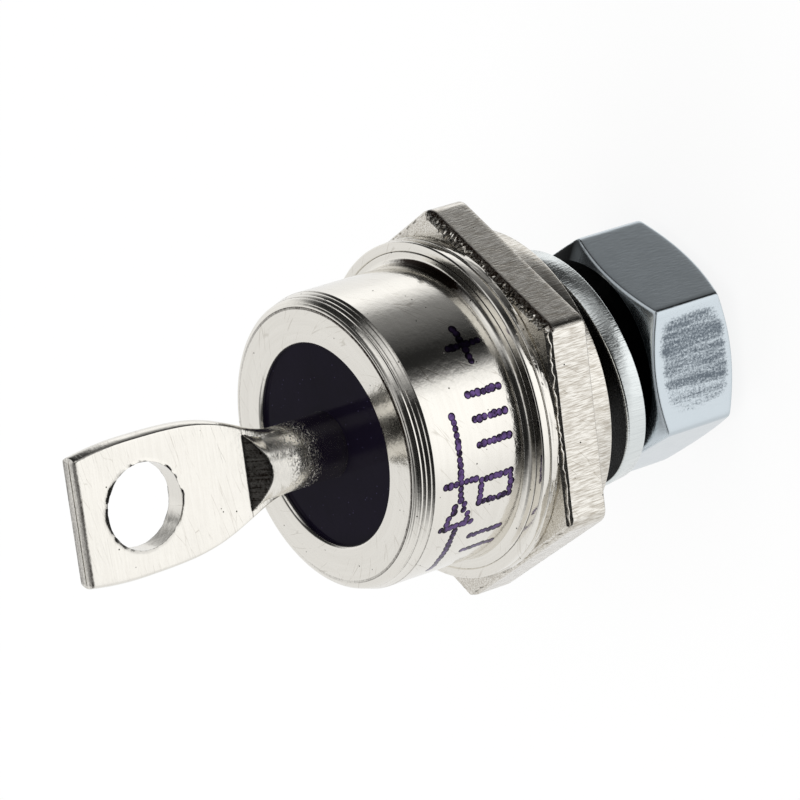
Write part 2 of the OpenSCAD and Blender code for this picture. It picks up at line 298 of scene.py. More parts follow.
def arc(cx, cz, r, first, last, steps):
    """Outline points on an arc, in degrees."""
    a = np.radians(np.linspace(first, last, steps + 1))
    return [(cx + r * math.cos(t), cz + r * math.sin(t)) for t in a]


def feed(node, inputs):
    """Sets the inputs of a shader node, where sockets are linked and colours are opaque."""
    for key, value in inputs.items():
        socket = node.inputs[key]
        if isinstance(value, bpy.types.NodeSocket):
            node.id_data.links.new(value, socket)
        else:
            socket.default_value = (*value, 1) if socket.type == "RGBA" else value


def add_node(tree, kind, inputs=None, out=None, ramp=None, **settings):
    """Adds one shader node and returns its output: the first in use, unless one is named.
    Inputs are constants or sockets to link, and ramp is a list of (place, level)."""
    node = tree.nodes.new("ShaderNode" + kind)
    for key, value in settings.items():
        setattr(node, key, value)
    if ramp:
        stops = node.color_ramp.elements
        while len(stops) < len(ramp):
            stops.new(0.5)
        for stop, (place, level) in zip(stops, ramp):
            stop.position = place
            stop.color = (level, level, level, 1)
    feed(node, inputs or {})
    return node.outputs[out] if out else next((o for o in node.outputs if o.enabled), None)


def blank(name):
    """A new material, what puts nodes in it, and its surface shader."""
    material = bpy.data.materials.new(name)
    material.use_nodes = True
    tree = material.node_tree
    return material, partial(add_node, tree), tree.nodes["Principled BSDF"]


def place_mm(put):
    """Place on the part in millimetres."""
    at = put("TexCoord", out="Object")
    return put("VectorMath", {0: at, 1: (1 / MM, 1 / MM, 1 / MM)}, operation="MULTIPLY")


def place_turned(put):
    """Place as (radius in mm, length round the axis in mm at the cap wall, height in mm)."""
    x, y, z = put("SeparateXYZ", {0: place_mm(put)}).node.outputs
    flat = put("CombineXYZ", {"X": x, "Y": y})
    radius = put("VectorMath", {0: flat}, operation="LENGTH")
    angle = put("Math", {0: y, 1: x}, operation="ARCTAN2")
    round_mm = put("Math", {0: angle, 1: CAP_R}, operation="MULTIPLY")
    return put("CombineXYZ", {"X": radius, "Y": round_mm, "Z": z})


def place_unrolled(put):
    """Place on the skin laid flat, in mm: length round the axis, and length along the outline."""
    radius, round_mm, z = put("SeparateXYZ", {0: place_turned(put)}).node.outputs
    along = put("Math", {0: z, 1: radius}, operation="SUBTRACT")
    return put("CombineXYZ", {"Y": round_mm, "Z": along})


def place_on_flag(put):
    """Place on the flag laid flat, in mm: length across it, and length along it."""
    x, y, z = put("SeparateXYZ", {0: place_mm(put)}).node.outputs
    return put("CombineXYZ", {"X": y, "Y": x, "Z": z})


def scratches(put, at, spin, across, along, width):
    """Sparse thin scratches: edges of long cells, kept only in patches. Returns 1 on a scratch."""
    turned_at = put("VectorRotate", {"Vector": at, "Angle": spin}, rotation_type="X_AXIS")
    cells = put("VectorMath", {0: turned_at, 1: (0.2, across, along)}, operation="MULTIPLY")
    edge = put("TexVoronoi", {"Vector": cells, "Scale": 1.0}, feature="DISTANCE_TO_EDGE")
    near = put("MapRange", {"Value": edge, "From Max": width, "To Min": 1.0, "To Max": 0.0})
    patch = put("TexNoise", {"Vector": at, "Scale": 0.9})
    kept = put("MapRange", {"Value": patch, "From Min": 0.47, "From Max": 0.6})
    return put("Math", {0: near, 1: kept}, operation="MULTIPLY")


def pits(put, at, size, share):
    """Small dark pits of that size in mm. Returns 1 in a pit."""
    away = put("TexVoronoi", {"Vector": at, "Scale": 0.5 / size})
    chance = put("SeparateColor", {0: away.node.outputs["Color"]})
    chosen = put("Math", {0: chance, 1: 1.0 - share}, operation="GREATER_THAN")
    levels = {"From Min": 0.12, "From Max": 0.3, "To Min": 1.0, "To Max": 0.0}
    inside = put("MapRange", {"Value": away, **levels})
    return put("Math", {0: chosen, 1: inside}, operation="MULTIPLY")


def plated(
    name, colours, roughness, lay, tone_share, line_depth, dent_depth, flat_place, scratch_at, pit_share
):
    """Nickel plate over worked metal. The lay is the pattern of lines left by the tool, seen through the thin
    plate: it breaks up reflections across the lines. Plate is dull in scratches, dark in pits, and brown where
    oil and dust sit and where shade is painted into gaps, creases and shaded sides."""
    material, put, shader = blank(name)
    at = place_mm(put)
    grain = put("TexNoise", {"Vector": lay(put), "Scale": 1.0, "Detail": 3.0, "Roughness": 0.6})
    cloud = put("TexNoise", {"Vector": at, "Scale": 0.6, "Detail": 4.0, "Roughness": 0.6})
    scratch = scratches(put, flat_place(put), *scratch_at)
    pit = pits(put, at, 0.09, pit_share)
    levels = {"From Min": 0.36, "From Max": 0.62, "To Min": tone_share, "To Max": 0.0}
    tone = put("MapRange", {"Value": grain, **levels})
    worn = put("Math", {0: scratch, 1: 0.4, 2: tone}, operation="MULTIPLY_ADD", use_clamp=True)
    speck = put("TexNoise", {"Vector": at, "Scale": 8.0, "Detail": 3.0, "Roughness": 0.7})
    # the painted mask holds oil and dust, and painted shade in gaps and creases
    dirt_and_shade = put("Attribute", out="Fac", attribute_name="grime_and_shade")
    dirt_and_shade = put("Math", {0: dirt_and_shade, 1: 3.0, 2: speck}, operation="MULTIPLY_ADD")
    dirt_and_shade = put("Math", {0: dirt_and_shade, 1: grain}, operation="ADD")
    grime_and_shade = put("MapRange", {"Value": dirt_and_shade, "From Min": 1.5, "From Max": 2.4})
    colour = colours.nickel
    for share, stain in ((worn, colours.nickel_dull), (pit, linear("#2B2622")), (grime_and_shade, colours.grime_and_shade)):
        colour = put("Mix", {"Factor": share, 6: colour, 7: stain}, data_type="RGBA")
    levels = {"From Min": 0.35, "From Max": 0.65, "To Min": roughness * 0.8, "To Max": roughness * 1.25}
    rough = put("MapRange", {"Value": cloud, **levels})
    for share, more in ((grime_and_shade, 0.2), (pit, 0.4)):
        rough = put("Math", {0: share, 1: more, 2: rough}, operation="MULTIPLY_ADD", use_clamp=True)
    height = grain
    for share, more in ((scratch, -0.5), (pit, -1.0)):
        height = put("Math", {0: share, 1: more, 2: height}, operation="MULTIPLY_ADD")
    dent = put("TexNoise", {"Vector": at, "Scale": 2.5, "Detail": 4.0, "Roughness": 0.6})
    # small knocks, only where a piece is painted as dented
    knock = put("TexNoise", {"Vector": at, "Scale": 9.0, "Roughness": 0.6})
    knock = put("MapRange", {"Value": knock, "From Min": 0.56, "From Max": 0.72, "To Max": 2.2})
    dented = put("Attribute", out="Fac", attribute_name="dented")
    dent = put("Math", {0: dented, 1: knock, 2: dent}, operation="MULTIPLY_ADD")
    dents = put("Bump", {"Height": dent, "Distance": dent_depth * MM})
    bump = put("Bump", {"Height": height, "Distance": line_depth * MM, "Normal": dents})
    feed(shader, {"Base Color": colour, "Metallic": 1.0, "Roughness": rough, "Normal": bump})
    return material


def lay_along(put):
    """Short lines along the axis, a fifteenth of a millimetre apart."""
    return put("VectorMath", {0: place_mm(put), 1: (15.0, 15.0, 1.6)}, operation="MULTIPLY")


def lay_round(put):
    """Rings round the axis, drawn a fifth of a millimetre apart: real ones are too fine to show."""
    return put("VectorMath", {0: place_turned(put), 1: (5.0, 0.15, 5.0)}, operation="MULTIPLY")


def lay_flag(put):
    """Scratches across the flag, and lines along the axis on the ramps."""
    at = place_mm(put)
    across = put("VectorMath", {0: at, 1: (0.5, 8.0, 8.0)}, operation="MULTIPLY")
    along = put("VectorMath", {0: at, 1: (10.0, 0.5, 0.4)}, operation="MULTIPLY")
    ramp = put("Attribute", out="Fac", attribute_name="ramp")
    return put("Mix", {"Factor": ramp, 4: across, 5: along}, data_type="VECTOR")


def nickel_milled(colours):
    """Nickel over milled bar: a satin plate with lines along the axis."""
    return plated(
        "nickel_on_milled_copper", colours, roughness=0.15, lay=lay_along, tone_share=0.8, line_depth=0.009,
        dent_depth=0.006, flat_place=place_unrolled, scratch_at=(0.6, 1.2, 0.1, 0.015), pit_share=0.02,
    )


def nickel_turned(colours):
    """Bright nickel over drawn and turned steel: a near mirror with faint rings round it."""
    return plated(
        "nickel_on_turned_steel", colours, roughness=0.11, lay=lay_round, tone_share=0.07, line_depth=0.0018,
        dent_depth=0.008, flat_place=place_unrolled, scratch_at=(0.9, 1.3, 0.16, 0.025), pit_share=0.015,
    )


def nickel_welded(colours):
    """Nickel over the welded ring: drawn out by the weld, with uneven rings."""
    return plated(
        "nickel_on_welded_steel", colours, roughness=0.12, lay=lay_round, tone_share=0.15, line_depth=0.006,
        dent_depth=0.012, flat_place=place_unrolled, scratch_at=(0.5, 1.1, 0.12, 0.02), pit_share=0.02,
    )


def nickel_pressed(colours):
    """Nickel over pressed copper: the press leaves fine scratches across the flag."""
    return plated(
        "nickel_on_pressed_copper", colours, roughness=0.15, lay=lay_flag, tone_share=0.07, line_depth=0.002,
        dent_depth=0.012, flat_place=place_on_flag, scratch_at=(1.35, 2.2, 0.25, 0.013), pit_share=0.01,
    )


def zinc_plate(name, plate, colours, streaks, depth, worn_flats):
    """Clear blue zinc over steel: softer than nickel, with a fine bloom, and dull grey where it is rubbed."""
    material, put, shader = blank(name)
    at = place_mm(put)
    streak_at = put("VectorMath", {0: at, 1: streaks}, operation="MULTIPLY")
    streak = put("TexNoise", {"Vector": streak_at, "Scale": 1.0})
    bloom = put("TexNoise", {"Vector": at, "Scale": 1.2, "Detail": 6.0, "Roughness": 0.7})
    if worn_flats:
        rub = put("Attribute", out="Fac", attribute_name="rubbed")
        fine_at = put("VectorMath", {0: at, 1: (9.0, 9.0, 7.0)}, operation="MULTIPLY")
        fine = put("TexNoise", {"Vector": fine_at, "Scale": 1.0, "Detail": 6.0, "Roughness": 0.8})
        row_at = put("VectorMath", {0: at, 1: (3.2, 3.2, 0.25)}, operation="MULTIPLY")
        row = put("TexNoise", {"Vector": row_at, "Scale": 1.0, "Detail": 3.0, "Roughness": 0.6})
        both = put("Math", {0: row, 1: 0.5, 2: fine}, operation="MULTIPLY_ADD")
        both = put("Math", {0: rub, 1: 0.6, 2: both}, operation="MULTIPLY_ADD")
        worn = put("MapRange", {"Value": both, "From Min": 1.19, "From Max": 1.40})
    else:
        worn = put("MapRange", {"Value": streak, "From Min": 0.5, "From Max": 0.75, "To Max": 0.15})
    grime_and_shade = put("Attribute", out="Fac", attribute_name="grime_and_shade")
    edge = put("Attribute", out="Fac", attribute_name="edge")
    colour = plate
    # this near-black is painted shade: in the washer's gap under the boss and on the nut's face and chamfer
    for share, stain in ((worn, colours.zinc_worn), (grime_and_shade, linear("#090C0E"))):
        colour = put("Mix", {"Factor": share, 6: colour, 7: stain}, data_type="RGBA")
    levels = {"From Min": 0.3, "From Max": 0.7, "To Min": 0.12, "To Max": 0.2}
    rough = put("MapRange", {"Value": bloom, **levels})
    for share, more in ((worn, 0.2), (grime_and_shade, 0.3), (edge, 0.35)):
        rough = put("Math", {0: share, 1: more, 2: rough}, operation="MULTIPLY_ADD")
    bump = put("Bump", {"Height": streak, "Distance": depth * MM})
    # knocks leave the edges matt and pale
    metal = put("Math", {0: edge, 1: -0.75, 2: 1.0}, operation="MULTIPLY_ADD", use_clamp=True)
    feed(shader, {"Base Color": colour, "Metallic": metal, "Roughness": rough, "Normal": bump})
    return material


def sealing_glass(colours):
    """Fired sealing glass: glossy and nearly black, a little blue, with specks and a faint ripple."""
    material, put, shader = blank("sealing_glass_fired")
    at = place_mm(put)
    speck = pits(put, at, 0.06, 0.03)
    cloud = put("TexNoise", {"Vector": at, "Scale": 0.8, "Detail": 3.0})
    colour = colours.glass
    for share, stain in ((cloud, linear("#0E0B14")), (speck, linear("#3A3550"))):
        colour = put("Mix", {"Factor": share, 6: colour, 7: stain}, data_type="RGBA")
    ripple = put("TexNoise", {"Vector": at, "Scale": 1.4})
    bump = put("Bump", {"Height": ripple, "Distance": 0.01 * MM, "Strength": 0.6})
    # seen close to the angle at which glass shines least
    feed(shader, {"Roughness": 0.07, "IOR": 1.5, "Specular IOR Level": 0.03})
    feed(shader, {"Base Color": colour, "Normal": bump})
    return material


def jetted_ink(colours):
    """Ink thrown in dots on bright plate: the plate shines through it in violet, and it is thick and nearly
    black round the rim of a dot and where dots run together."""
    material, put, shader = blank("ink_jetted")
    flow = put("TexNoise", {"Vector": place_mm(put), "Scale": 2.6, "Detail": 3.0, "Roughness": 0.7})
    rim = put("Attribute", out="Fac", attribute_name="rim")
    thick = put("Math", {0: rim, 1: 0.3, 2: flow}, operation="MULTIPLY_ADD")
    dense = put("MapRange", {"Value": thick, "From Min": 0.42, "From Max": 0.66})
    colour = put("Mix", {"Factor": dense, 6: colours.ink, 7: linear("#1D1721")}, data_type="RGBA")
    feed(shader, {"Base Color": colour, "Metallic": 1.0, "Roughness": 0.16})
    return material


def inside_material(name, first, second, metallic, roughness, scale):
    """A material of the inner stack: two tones of one colour in a fine grain."""
    material, put, shader = blank(name)
    grain = put("TexNoise", {"Vector": place_mm(put), "Scale": scale, "Detail": 4.0})
    colour = put("Mix", {"Factor": grain, 6: linear(first), 7: linear(second)}, data_type="RGBA")
    rough = put("MapRange", {"Value": grain, "To Min": roughness * 0.8, "To Max": roughness * 1.2})
    feed(shader, {"Base Color": colour, "Metallic": metallic, "Roughness": rough})
    return material


def thread_reach(angles, z, sizes):
    """Reach of the right-hand thread of the stud, with flat crests and roots, fading in below the boss."""
    pitch, depth = sizes.thread_pitch / MM, sizes.thread_depth / MM
    phase = (z / pitch - angles / TURN) % 1.0
    down = np.clip((np.abs(phase - 0.5) * 2 - 0.125) / 0.625, 0, 1) * depth
    tip = STUD_R - np.maximum(STUD_TIP + STUD_CHAMFER - z, 0)
    relief = STUD_R - depth * np.clip((z + 1.3) / 0.5, 0, 1)
    return np.minimum(np.minimum(STUD_R - down, tip), relief)


def build_base(sizes, colours):
    """Hexagon with bevel and burr, boss, and threaded stud, all of one bar."""
    count = 720
    a = np.arange(count) * TURN / count
    full = hexagon_reach(a, HEX_APOTHEM, HEX_CORNER)
    off = from_flat(a)
    # one flat has a torn edge, and the others are cleaner
    ragged = np.clip((32 - np.abs((np.degrees(a) - TORN_FLAT + 180) % 360 - 180)) / 4, 0, 1)
    clean = 1 - ragged
    lip = sizes.burr / MM * (clean * (0.3 + 0.7 * jagged(count, 4, 2)) + ragged * 2.4 * jagged(count, 14, 0))
    wander = clean * 0.12 * (jagged(count, 9, 3) - 0.5) + ragged * 0.26 * (jagged(count, 19, 0) - 0.5)
    inset = 0.1 + 0.05 * ragged + wander
    bevel = HEX_BEVEL - 0.1 * clean

    def level(inset, drop, ease):
        reach = np.minimum(full - ease, (HEX_APOTHEM - inset) / np.cos(off))
        return contour(reach, a, HEX_TOP - drop)

    rings = [point(PEDESTAL_TOP), circle(PEDESTAL_R, PEDESTAL_TOP, count), circle(PEDESTAL_R, HEX_TOP, count)]
    rings += [level(bevel + 0.1, 0, 0.15), level(bevel, 0, 0.06)]
    rings += [
        level(inset + lip + 0.004, bevel - inset - lip, 0.05),
        level(inset + 0.015, bevel - inset - lip, 0.048),
        level(inset, bevel - inset - lip + 0.015, 0.044),
        level(inset, bevel - inset + 0.004, 0.042),
        level(0.03, bevel - 0.03, 0.012),
    ]
    rings += [contour(full - 0.004, a, HEX_TOP - bevel - 0.005), contour(full, a, HEX_TOP - bevel - 0.05)]
    rings += [contour(full, a, z) for z in np.linspace(HEX_TOP - 0.6, HEX_LOW + 0.3, 6)]
    rings += [contour(full, a, HEX_LOW + 0.1), contour(full - 0.015, a, HEX_LOW + 0.045)]
    rings += [contour(full - 0.045, a, HEX_LOW + 0.012), contour(full - 0.09, a, HEX_LOW)]
    boss = [(BOSS_R + 0.02, HEX_LOW), (BOSS_R, HEX_LOW - 0.02), (BOSS_R, 0.6), (BOSS_R, BOSS_EDGE)]
    rings += turned(boss + [(BOSS_R - 0.035, 0.035), (BOSS_R - BOSS_EDGE, 0.0)], count)
    turns = 96
    b = np.arange(turns) * TURN / turns
    rings += [circle(STUD_R, 0.0, turns)]
    for z in np.concatenate([[-0.05], np.arange(-0.2, -10.2, -0.06), np.arange(-10.2, STUD_TIP, -0.05)]):
        rings.append(contour(thread_reach(b, z, sizes), b, z))
    rings += [circle(STUD_R - STUD_CHAMFER - 0.02, STUD_TIP, turns), point(STUD_TIP)]
    obj = piece("stud_base_worked", *skin(rings), nickel_milled(colours))

    def grime_and_shade(x, y, z):
        angle, reach = np.arctan2(y, x), np.hypot(x, y)
        inward = HEX_APOTHEM - reach * np.cos(from_flat(angle))
        proud = HEX_BEVEL - inward - (HEX_TOP - z)
        # painted shade: the seat face inside the washer and the stud's threads are darkened where the gap under
        # the boss is in shade
        under = (np.abs(z) < 0.02) * (reach < 6.2) * 1.0 + (z < -0.02) * (reach < STUD_R - 0.25) * 0.35
        cut = (z > HEX_TOP - 0.34) * (z < HEX_TOP - 0.004) * (inward < 0.42) * (proud < 0.02) * 0.26
        edge = (reach > BOSS_R + 0.1) * ((np.abs(z - HEX_TOP + 0.38) < 0.05) + (z < HEX_LOW + 0.05)) * 0.27
        corner = (z > HEX_TOP - 0.01) * (reach < RING_R + 0.25) * (reach > RING_R - 0.3) * 0.2
        # most of it on the torn flat, some on the flat beside it
        beside = np.where(np.abs(angle + 1.05) < 1.07, 1.0, 0.3)
        share = np.where(np.abs(angle + 0.52) < 0.53, 1.7, beside)
        return under + (cut + edge) * share + corner

    paint(obj, "grime_and_shade", grime_and_shade)
    fit(obj, "nickel_base", "stud_base")


def build_cap(colours):
    """Weld ring, and cap with flange, straight wall, grooved rim and end ring."""
    e = RING_EDGE
    count = 360
    outline = [(CAP_BORE_R, HEX_TOP), (WELD_R, HEX_TOP)]
    outline += [(RING_R - e, HEX_TOP), (RING_R - 0.02, HEX_TOP + 0.04)]
    outline += [(RING_R, z) for z in np.linspace(HEX_TOP + e, RING_TOP - e, 6)]
    outline += [(RING_R - 0.02, RING_TOP - 0.04), (RING_R - e, RING_TOP)]
    outline += [(WELD_R, RING_TOP), (CAP_BORE_R, RING_TOP)]
    rings = turned(outline, count)
    for i, ring in enumerate(rings[3:10]):
        ring[:, :2] *= (1 - 0.0055 * jagged(count, 30 + i, 6) ** 2)[:, None]
    obj = piece("weld_ring_worked", *skin(rings, loop=True), nickel_welded(colours))
    fit(obj, "nickel_ring", "weld_ring")

    rim_r, rim_z = CAP_R - RIM_RUN, CAP_END - RIM_DROP
    outline = [(CAP_BORE_R, RING_TOP), (WELD_R, RING_TOP)]
    outline += arc(FLANGE_R - e, RING_TOP + e, e, -90, 0, 4) + arc(FLANGE_R - e, FLANGE_TOP - e, e, 0, 90, 4)
    outline += [(FURROW_R + 0.15, FLANGE_TOP), (FURROW_R + FURROW_HALF, FLANGE_TOP)]
    outline += [(FURROW_R, FLANGE_TOP - FURROW_DEPTH), (FURROW_R - FURROW_HALF, FLANGE_TOP)]
    outline += arc(CAP_R + CAP_FILLET, FLANGE_TOP + CAP_FILLET, CAP_FILLET, 270, 180, 8)
    outline += [(CAP_R, z) for z in np.linspace(WALL_LOW, rim_z - 0.05, 12)] + [(CAP_R, rim_z - 0.006)]
    for t in np.linspace(0.004, 0.995, 85):
        groove, share = divmod(t * len(GROOVE_DEPTHS), 1.0)
        dip = GROOVE_DEPTHS[int(groove)] * math.sin(math.pi * np.clip((share - 0.2) / 0.6, 0, 1)) ** 1.2
        turn = t * math.pi / 2
        rise = (RIM_DROP - dip) * math.sin(turn)
        # the rim leaves the wall at a crease, as a taper
        run = min((RIM_RUN - dip) * math.cos(turn), RIM_RUN - dip - RIM_TAPER * rise)
        outline.append((rim_r + max(run, 0.0), rim_z + rise))
    outline += [(r, CAP_END) for r in (rim_r - 0.03, rim_r - 0.08, 6.4, 5.7, SEAL_R + 0.25)]
    outline += arc(SEAL_R + 0.17, CAP_END - 0.17, 0.17, 90, 180, 8)
    outline += [(SEAL_R, SEAL_LOW), (CAP_BORE_R, SEAL_LOW)]
    obj = piece("cap_worked", *skin(turned(outline, count), loop=True), nickel_turned(colours))

    # painted shade: the rim's grooves, the step where it leaves the wall, the furrow, the fillet and the end
    # face's edges are darkened, more on one side
    def grime_and_shade(x, y, z):
        angle, reach = np.arctan2(y, x), np.hypot(x, y)
        turned_to = np.cos(angle + 1.0)
        end = (reach > rim_r - 0.05) * (0.3 + 0.13 * turned_to) + (reach < SEAL_R + 0.18) * 0.1
        end = end * (z > CAP_END - 0.02)
        turn = np.arctan2((z - rim_z) / RIM_DROP, (reach - rim_r) / RIM_RUN) / (math.pi / 2)
        turn = turn * len(GROOVE_DEPTHS)
        furrow = np.sin(math.pi * np.clip((turn % 1 - 0.2) / 0.6, 0, 1)) ** 2 * (z > rim_z) * (reach > rim_r)
        furrow *= np.array(GROOVE_DEPTHS)[np.clip(turn, 0, 5).astype(int)] / max(GROOVE_DEPTHS)
        start = (z > rim_z) * (turn > 0) * (turn < 0.3) * 0.3
        line = (np.abs(reach - FURROW_R) < 0.03) * (z < FLANGE_TOP - 0.01) * (z > RING_TOP + 0.1)
        # painted shade in the fillet, on one side
        fillet = (z > FLANGE_TOP + 0.01) * (z < FLANGE_TOP + CAP_FILLET + 0.1) * (reach < CAP_R + CAP_FILLET)
        fillet = fillet * 0.7 * np.clip(np.cos(angle + 0.18), 0, 1) ** 12
        return end + start + line * (0.35 + 0.35 * turned_to) + fillet + furrow * (0.2 + 0.2 * turned_to)

    paint(obj, "grime_and_shade", grime_and_shade)
    fit(obj, "nickel_cap", "cap")


def build_seal(colours):
    """Glass fused between the cap and the tube, climbing a little where it wets the metal."""
    c = SEAL_CLIMB
    outline = [(TUBE_R, SEAL_LOW), (SEAL_R, SEAL_LOW)]
    outline += arc(SEAL_R - c, SEAL_TOP + c, c, 0, -90, 8)
    outline += [(r, SEAL_TOP) for r in np.linspace(SEAL_R - c - 0.1, TUBE_R + c + 0.1, 14)]
    outline += arc(TUBE_R + c, SEAL_TOP + c, c, 270, 180, 8)
    obj = piece("glass_seal_fired", *skin(turned(outline, 240), loop=True), sealing_glass(colours))
    fit(obj, "dark_glass", "glass_seal")


def flag_half_width(z):
    """Half the width of the tube and flag at a height."""
    up = np.maximum(z - FLARE_Z, 0) / FLARE_LENGTH
    on = np.maximum(z - TAPER_Z, 0) / TAPER_LENGTH
    return TUBE_R + (FLAG_W / 2 - TUBE_R) * (1 - np.exp(-(up**FLARE_POWER))) - TAPER * on**2


def build_terminal(sizes, colours):
    """Tube widened and pressed flat into a flag, with ramps, a seam at the cut end and a punched hole."""
    count = 240
    t = np.arange(count) * TURN / count

    def section(z, squeeze=1.0, trim=0.0):
        width = flag_half_width(z)
        across = soft_min(TUBE_R * np.abs(np.sin(t)), FLAG_T / 2, 0.06)
        if z < PRESS_Z:
            bulge = TUBE_R + (width - TUBE_R) * (0.1 + 0.55 * np.clip((z - BULGE_Z) / 0.96, 0, 1))
            thick = TUBE_R - 0.05 * (math.hypot(z - THINNING_Z, 0.2) + z - THINNING_Z)
            bulged = thick * np.sqrt(np.maximum(1 - (width * np.cos(t) / bulge) ** 2, 0))
            across = np.maximum(across, soft_min(bulged, FLAG_T / 2 + (PRESS_Z - z) * RAMP_SLOPE, 0.06))
        across = np.sign(np.sin(t)) * np.maximum(across, 0) * squeeze
        return np.stack([(width - trim) * np.cos(t), across, np.full(count, z)], 1)

    rings = [point(BORE_TOP + BORE_POINT), circle(TUBE_BORE_R / 8, BORE_TOP + BORE_POINT, count)]
    rings += [circle(TUBE_BORE_R, z, count) for z in (BORE_TOP, SEAL_LOW, TUBE_LOW)]
    rings += [circle(TUBE_R - 0.05, TUBE_LOW, count), circle(TUBE_R, TUBE_LOW + 0.05, count)]
    rings += [circle(TUBE_R, z, count) for z in np.linspace(SEAL_LOW, TUBE_END, 12)]
    rings += [section(z) for z in (*np.arange(13.5, 17.5, 0.06), *np.arange(17.5, FLAG_END - 0.1, 0.1))]
    # the cut end: its edges are eased and its halves meet at a seam
    ends = [(0.06, 1.0, 0.0), (0.015, 0.985, 0.015), (0, 0.93, 0.06)]
    ends += [(0, 0.1, 0.15), (0.09, 0.03, 0.2), (0.09, 0.0, 0.2)]
    rings += [section(FLAG_END - down, squeeze, trim) for down, squeeze, trim in ends]
    obj = piece("terminal_pressed", *skin(rings), nickel_pressed(colours))

    cutter = bpy.data.meshes.new("punch")
    lip = FLAG_T / 2 - 0.07
    points, faces = skin([circle(HOLE_R, z, HOLE_SIDES) for z in (-2, -lip, lip, 2)], capped=True)
    cutter.from_pydata((points * MM).tolist(), [], faces)
    cutter.transform(Matrix.Translation((0, 0, HOLE_Z * MM)) @ Matrix.Rotation(math.pi / 2, 4, "X"))
    punch = add_object("punch", cutter)
    cut = obj.modifiers.new("hole", "BOOLEAN")
    cut.object = punch
    cut.solver = "EXACT"
    bpy.context.view_layer.update()
    holed = bpy.data.meshes.new_from_object(obj.evaluated_get(bpy.context.evaluated_depsgraph_get()))
    obj.modifiers.clear()
    obj.data = holed
    bpy.data.objects.remove(punch)

    burr = sizes.burr * jagged(HOLE_SIDES, 3, 1)
    for v in holed.vertices:
        dx, dz = v.co.x / MM, v.co.z / MM - HOLE_Z
        reach = math.hypot(dx, dz) - HOLE_R
        if abs(reach) < BURR_REACH and abs(abs(v.co.y) / MM - FLAG_T / 2) < 0.05:
            side = int((math.atan2(dz, dx) / TURN % 1.0) * HOLE_SIDES) % HOLE_SIDES
            v.co.y += math.copysign(burr[side] * (1 - abs(reach) / BURR_REACH), v.co.y)
    holed.transform(Matrix.Rotation(FLAG_TURN, 4, "Z"))
    shade(holed)

    def facing(x, y):
        return np.abs(y * math.cos(FLAG_TURN) - x * math.sin(FLAG_TURN))

    def on_ramp(x, y, z):
        half = FLAG_T / 2 + np.maximum(PRESS_Z - z, 0) * RAMP_SLOPE
        return (z > RAMP_LOW) * (z < PRESS_Z + 0.02) * (facing(x, y) > half - 0.06) * 1.0

    def grime_and_shade(x, y, z):
        end = (z > FLAG_END - 0.07) * (0.22 + 0.14 * (facing(x, y) > 0.4))
        hole = (np.abs(np.hypot(x, z - HOLE_Z) - HOLE_R) < 0.02) * (facing(x, y) > FLAG_T / 2 - 0.03)
        # painted reflection: the tube is darkened near the glass seal and where it starts to widen, standing
        # for the dark glass mirrored in it
        painted_glass_reflection = np.clip(1 - np.abs(z - TUBE_END) / 0.6, 0, 1) * 0.24 + np.clip((12.6 - z) / 2, 0, 1) * 0.3
        return end + hole * np.where(z < HOLE_Z, 0.34, 0.27) + on_ramp(x, y, z) * 0.4 + painted_glass_reflection

    paint(obj, "ramp", on_ramp)
    paint(obj, "grime_and_shade", grime_and_shade)
    paint(obj, "dented", lambda x, y, z: 1.5 - np.abs(z - KNOCKS_Z) * 1.5)
    fit(obj, "nickel_terminal", "terminal")


def build_washer(colours):
    """One turn of flat spring wire, cut and set, lying tilted on the stud."""
    e, half = WASHER_EDGE, WASHER_T / 2
    rim, bore, shade_r = WASHER_R - e, WASHER_BORE_R + e, WASHER_R - e - 0.04
    section = [(shade_r, half)] + arc(rim, half - e, e, 90, 0, 4) + arc(rim, e - half, e, 0, -90, 4)
    section += [(shade_r, -half)] + arc(bore, e - half, e, -90, -180, 4)
    section = np.array(section + arc(bore, half - e, e, -180, -270, 4))
    gap = math.asin(WASHER_GAP / 2 / ((WASHER_R + WASHER_BORE_R) / 2))
    place = (
        Matrix.Translation((0, 0, WASHER_Z))
        @ Matrix.Rotation(WASHER_LEAN, 4, "Z")
        @ Matrix.Rotation(-WASHER_TILT, 4, "Y")
        @ Matrix.Rotation(WASHER_SPLIT - WASHER_LEAN, 4, "Z")
    )
    place = np.array(place)
    rings = []
    for share in np.linspace(0, 1, 241):
        a = gap + (TURN - 2 * gap) * share
        out, up = section.T
        ring = np.stack([out * math.cos(a), out * math.sin(a), up + WASHER_RISE * (0.5 - share)], 1)
        rings.append(ring @ place[:3, :3].T + place[:3, 3])
    wire = zinc_plate("zinc_on_spring_wire", colours.zinc_wire, colours, (13.0, 13.0, 0.6), 0.02, False)
    obj = piece("lock_washer_coiled", *skin(rings, capped=True), wire)
    back = np.linalg.inv(place)

    # painted shade: the wire inside its outer rounding is darkened where it sits in the gap under the boss
    def hidden(x, y, z):
        px, py, _ = back[:3, :3] @ np.stack([x, y, z]) + back[:3, 3:]
        return (np.hypot(px, py) < shade_r + 0.01) * 1.0

    paint(obj, "grime_and_shade", hidden)
    fit(obj, "zinc", "lock_washer")


